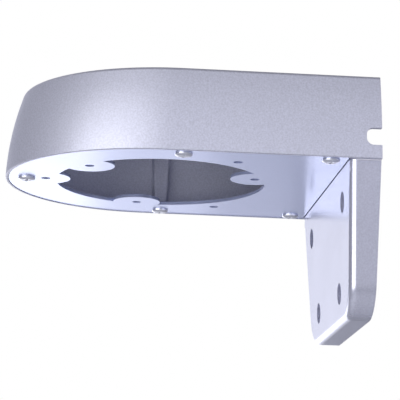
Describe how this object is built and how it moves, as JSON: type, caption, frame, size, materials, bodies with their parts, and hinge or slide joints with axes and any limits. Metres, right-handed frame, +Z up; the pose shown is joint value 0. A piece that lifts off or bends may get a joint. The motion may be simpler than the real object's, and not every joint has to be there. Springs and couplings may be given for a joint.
{
  "type": "dome camera wall bracket",
  "caption": "Wall bracket for a dome camera: a D-shaped hood on a short wall leg, closed below by an adapter plate with a round tabbed opening.",
  "frame": {"origin": "centre of the four wall holes, on the wall plane", "axes": "+Z up, +Y into the wall, the hood reaches out along -Y, +X to the right when facing the wall"},
  "size_m": [0.14, 0.167, 0.1083],
  "materials": {
    "silver_paint": "satin silver paint on die-cast aluminium",
    "plate_paint": "smooth semi-gloss silver paint on sheet aluminium",
    "screw_steel": "nickel-plated steel",
    "zinc_steel": "zinc-plated steel",
    "earth_brass": "plain brass",
    "rubber": "matt black rubber"
  },
  "bodies": {
    "bracket": {"hood_casting": "silver_paint", "wall_leg": "silver_paint", "cable_grommet": "rubber", "leg_screw_upper_right": "zinc_steel", "leg_screw_upper_left": "zinc_steel", "leg_screw_lower_right": "zinc_steel", "leg_screw_lower_left": "zinc_steel", "leg_screw_washer_upper_right": "zinc_steel", "leg_screw_washer_upper_left": "zinc_steel", "leg_screw_washer_lower_right": "zinc_steel", "leg_screw_washer_lower_left": "zinc_steel", "earth_screw": "earth_brass", "earth_washer": "zinc_steel"},
    "plate": {"adapter_plate": "plate_paint"},
    "plate_screw_front": {"plate_screw_front": "screw_steel"},
    "plate_screw_right_mid": {"plate_screw_right_mid": "screw_steel"},
    "plate_screw_left_mid": {"plate_screw_left_mid": "screw_steel"},
    "plate_screw_right_rear": {"plate_screw_right_rear": "screw_steel"},
    "plate_screw_left_rear": {"plate_screw_left_rear": "screw_steel"}
  },
  "joints": [
    {"name": "plate_release", "type": "slide", "parent": "bracket", "child": "plate", "axis": [0, 0, -1], "range_m": [0, 0.03]},
    {"name": "plate_screw_front_back_out", "type": "slide", "parent": "plate", "child": "plate_screw_front", "axis": [0, 0, -1], "range_m": [0, 0.009]},
    {"name": "plate_screw_right_mid_back_out", "type": "slide", "parent": "plate", "child": "plate_screw_right_mid", "axis": [0, 0, -1], "range_m": [0, 0.009]},
    {"name": "plate_screw_left_mid_back_out", "type": "slide", "parent": "plate", "child": "plate_screw_left_mid", "axis": [0, 0, -1], "range_m": [0, 0.009]},
    {"name": "plate_screw_right_rear_back_out", "type": "slide", "parent": "plate", "child": "plate_screw_right_rear", "axis": [0, 0, -1], "range_m": [0, 0.009]},
    {"name": "plate_screw_left_rear_back_out", "type": "slide", "parent": "plate", "child": "plate_screw_left_rear", "axis": [0, 0, -1], "range_m": [0, 0.009]}
  ]
}
